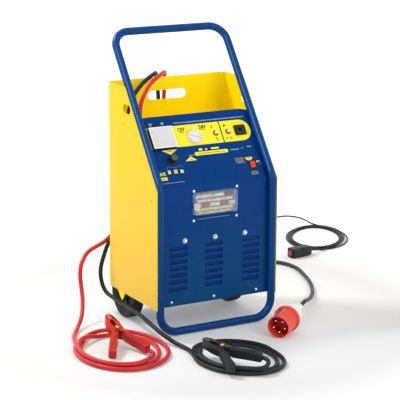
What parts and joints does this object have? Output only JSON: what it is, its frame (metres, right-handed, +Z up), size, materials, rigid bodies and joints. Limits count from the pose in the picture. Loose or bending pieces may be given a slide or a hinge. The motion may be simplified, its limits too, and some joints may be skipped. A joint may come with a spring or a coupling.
{
  "type": "wheeled battery charger",
  "caption": "Wheeled battery charger and engine starter: sheet steel case on a bent tube frame, sloping control panel, leads with clamps, mains plug and wired remote.",
  "frame": {"origin": "on the floor, under the middle of the body (case, frame and wheels, without the free cords)", "axes": "+Z up, +X to the right seen from the front, +Y from the front panel to the back"},
  "size_m": [1.5225, 1.5576, 0.9214],
  "materials": {
    "blue_paint": "gloss stove enamel",
    "yellow_paint": "gloss stove enamel",
    "zinc_steel": "zinc plated",
    "core_iron": "varnished laminations",
    "copper": "varnished windings",
    "aluminium": "extruded, bare",
    "board_green": "satin",
    "black_plastic": "moulded, satin",
    "grey_plastic": "moulded, satin",
    "white_plastic": "moulded, satin gloss",
    "red_plastic": "moulded, gloss",
    "clear_plastic": "clear moulded cover",
    "tyre_rubber": "matt solid rubber",
    "red_rubber": "satin",
    "black_rubber": "satin"
  },
  "bodies": {
    "root": {"tube_frame": "blue_paint", "front_panel": "blue_paint", "base_plate": "blue_paint", "case_shell": "yellow_paint", "tray_floor": "yellow_paint", "axle_bracket_left": "yellow_paint", "axle_bracket_right": "yellow_paint", "axle": "zinc_steel", "core_bolt_1": "zinc_steel", "core_bolt_2": "zinc_steel", "core_bolt_3": "zinc_steel", "panel_screw_1": "zinc_steel", "panel_screw_2": "zinc_steel", "panel_screw_3": "zinc_steel", "fuse_link": "zinc_steel", "transformer_core": "core_iron", "winding_left": "copper", "winding_centre": "copper", "winding_right": "copper", "rectifier_heatsink": "aluminium", "control_board": "board_green", "contactor": "black_plastic", "fan_frame": "black_plastic", "fuse_base": "black_plastic", "meter_body": "black_plastic", "socket_block": "black_plastic", "rocker_frame": "black_plastic", "lead_gland_red": "black_plastic", "lead_gland_black": "black_plastic", "mains_gland": "black_plastic", "remote_gland": "black_plastic", "handset": "black_plastic", "plug_rear": "white_plastic", "plug_shroud": "red_plastic", "plug_insert": "red_plastic", "meter_lens": "clear_plastic", "window_cover": "clear_plastic", "red_lead": "red_rubber", "red_coil": "red_rubber", "red_clamp_fixed_arm": "red_rubber", "black_lead": "black_rubber", "black_coil": "black_rubber", "mains_lead": "black_rubber", "remote_lead": "black_rubber", "remote_coil": "black_rubber", "black_clamp_fixed_arm": "black_rubber"},
    "wheel_left": {"tyre_left": "tyre_rubber", "wheel_hub_left": "grey_plastic"},
    "wheel_right": {"tyre_right": "tyre_rubber", "wheel_hub_right": "grey_plastic"},
    "fan": {"fan_rotor": "black_plastic"},
    "needle": {"meter_needle": "red_plastic"},
    "selector": {"selector_knob": "white_plastic"},
    "timer": {"timer_knob": "black_plastic"},
    "button_1": {"push_button_1": "white_plastic"},
    "button_2": {"push_button_2": "white_plastic"},
    "rocker_key": {"rocker": "red_plastic"},
    "red_clamp_arm": {"red_clamp_moving_arm": "red_rubber"},
    "black_clamp_arm": {"black_clamp_moving_arm": "black_rubber"},
    "handset_key": {"handset_button": "red_plastic"}
  },
  "joints": [
    {"name": "wheel_left_spin", "type": "hinge", "parent": "root", "child": "wheel_left", "pos_m": [-0.187, 0.0855, 0.08], "axis": [1, 0, 0], "continuous": true},
    {"name": "wheel_right_spin", "type": "hinge", "parent": "root", "child": "wheel_right", "pos_m": [0.187, 0.0855, 0.08], "axis": [1, 0, 0], "continuous": true},
    {"name": "fan_spin", "type": "hinge", "parent": "root", "child": "fan", "pos_m": [0, 0.1637, 0.42], "axis": [0, 1, 0], "continuous": true},
    {"name": "needle_swing", "type": "hinge", "parent": "root", "child": "needle", "pos_m": [-0.13625, -0.06951, 0.58717], "axis": [0, -0.8068, 0.5909], "range_deg": [-90, 0], "stiffness_Nm_per_rad": 0.002},
    {"name": "selector_turn", "type": "hinge", "parent": "root", "child": "selector", "pos_m": [-0.023, -0.05115, 0.59666], "axis": [0, -0.8068, 0.5909], "range_deg": [0, 166]},
    {"name": "timer_turn", "type": "hinge", "parent": "root", "child": "timer", "pos_m": [-0.1237, -0.09245, 0.54027], "axis": [0, -0.8068, 0.5909], "range_deg": [-45, 45]},
    {"name": "button_1_press", "type": "slide", "parent": "root", "child": "button_1", "axis": [0, 0.8068, -0.5909], "range_m": [0, 0.003], "stiffness_N_per_m": 300},
    {"name": "button_2_press", "type": "slide", "parent": "root", "child": "button_2", "axis": [0, 0.8068, -0.5909], "range_m": [0, 0.003], "stiffness_N_per_m": 300},
    {"name": "rocker_tilt", "type": "hinge", "parent": "root", "child": "rocker_key", "pos_m": [0.151, -0.11962, 0.50488], "axis": [1, 0, 0], "range_deg": [-16, 0]},
    {"name": "red_clamp_open", "type": "hinge", "parent": "root", "child": "red_clamp_arm", "pos_m": [-0.3526, -0.1697, 0.0445], "axis": [-0.0556, -0.2546, 0.9654], "range_deg": [0, 22], "stiffness_Nm_per_rad": 1, "springref_deg": -11.46},
    {"name": "black_clamp_open", "type": "hinge", "parent": "root", "child": "black_clamp_arm", "pos_m": [-0.1512, -0.4597, 0.0405], "axis": [-0.0863, -0.0759, 0.9934], "range_deg": [0, 22], "stiffness_Nm_per_rad": 1, "springref_deg": -11.46},
    {"name": "handset_press", "type": "slide", "parent": "root", "child": "handset_key", "axis": [0.9882, 0.153, 0], "range_m": [0, 0.003], "stiffness_N_per_m": 400}
  ]
}
